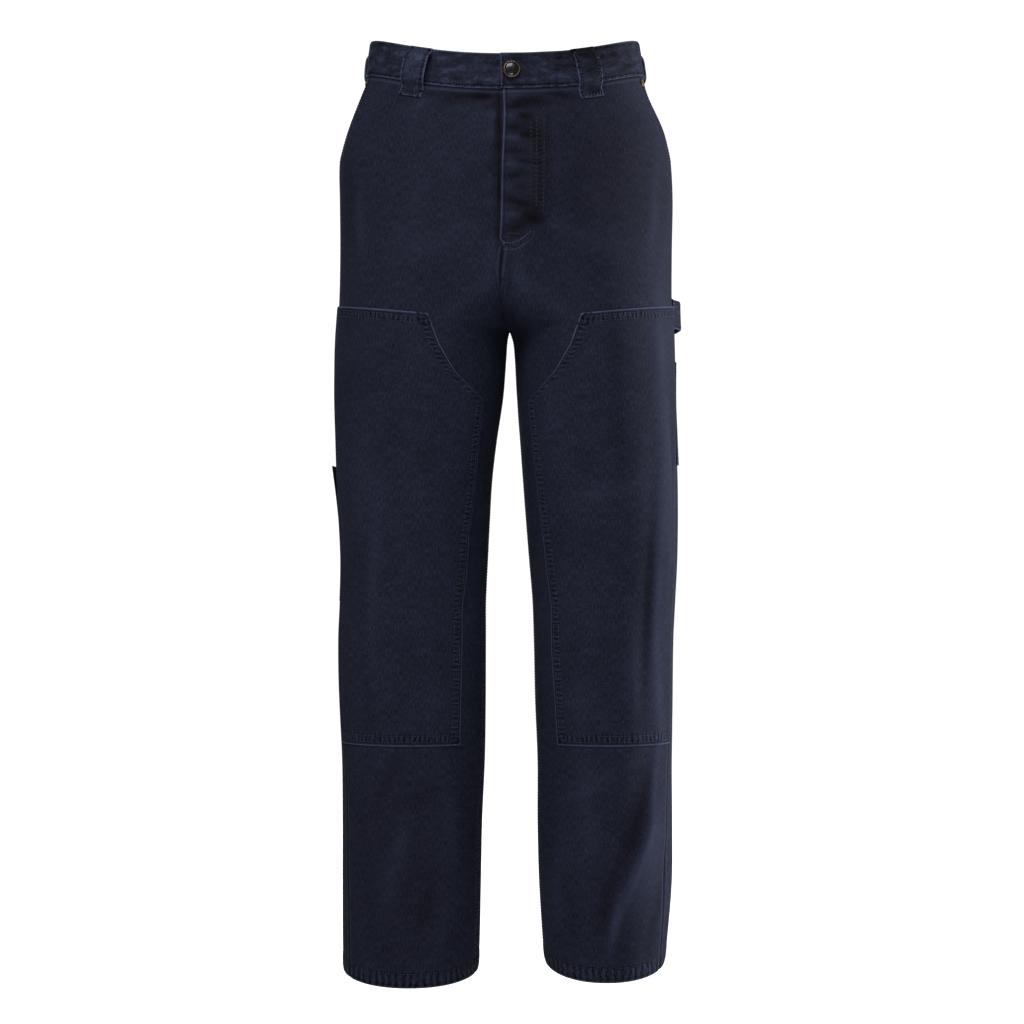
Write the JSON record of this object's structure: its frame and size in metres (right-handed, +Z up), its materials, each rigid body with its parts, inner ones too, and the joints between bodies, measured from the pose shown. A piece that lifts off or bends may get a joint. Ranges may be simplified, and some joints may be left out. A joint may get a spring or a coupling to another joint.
{
  "type": "straight double-knee carpenter jeans",
  "caption": "Straight jeans in dark twill with knee patches, slash pockets, wide belt loops, a hammer loop and tool pockets, hollow and open at the waist and hems.",
  "frame": {"origin": "the middle of the waistband at half its height, where a wearer's waist holds the jeans", "axes": "+Z up the wearer's body, -Y the way the front faces, +X the wearer's left"},
  "size_m": [0.3914, 0.281, 1.0484],
  "materials": {
    "cloth": "washed matte cotton twill",
    "button_ring": "worn antique brass",
    "button_centre": "glossy dark enamel",
    "rivet": "worn antique brass"
  },
  "bodies": {
    "root": {"front_left_upper": "cloth", "front_left_lower": "cloth", "front_right_upper": "cloth", "front_right_lower": "cloth", "back_left_upper": "cloth", "back_left_lower": "cloth", "back_right_upper": "cloth", "back_right_lower": "cloth", "yoke_left": "cloth", "yoke_right": "cloth", "waistband": "cloth", "fly_shield": "cloth", "pocket_side_left": "cloth", "pocket_side_right": "cloth", "knee_patch_left": "cloth", "knee_patch_right": "cloth", "back_pocket_left": "cloth", "back_pocket_right": "cloth", "tool_pocket_left": "cloth", "tool_pocket_right": "cloth", "hammer_loop": "cloth", "belt_loop_front_left": "cloth", "belt_loop_front_right": "cloth", "belt_loop_side_left": "cloth", "belt_loop_side_right": "cloth", "belt_loop_centre_back": "cloth", "button": "button_ring", "button_centre": "button_centre", "rivet_left": "rivet", "rivet_right": "rivet"}
  },
  "joints": []
}
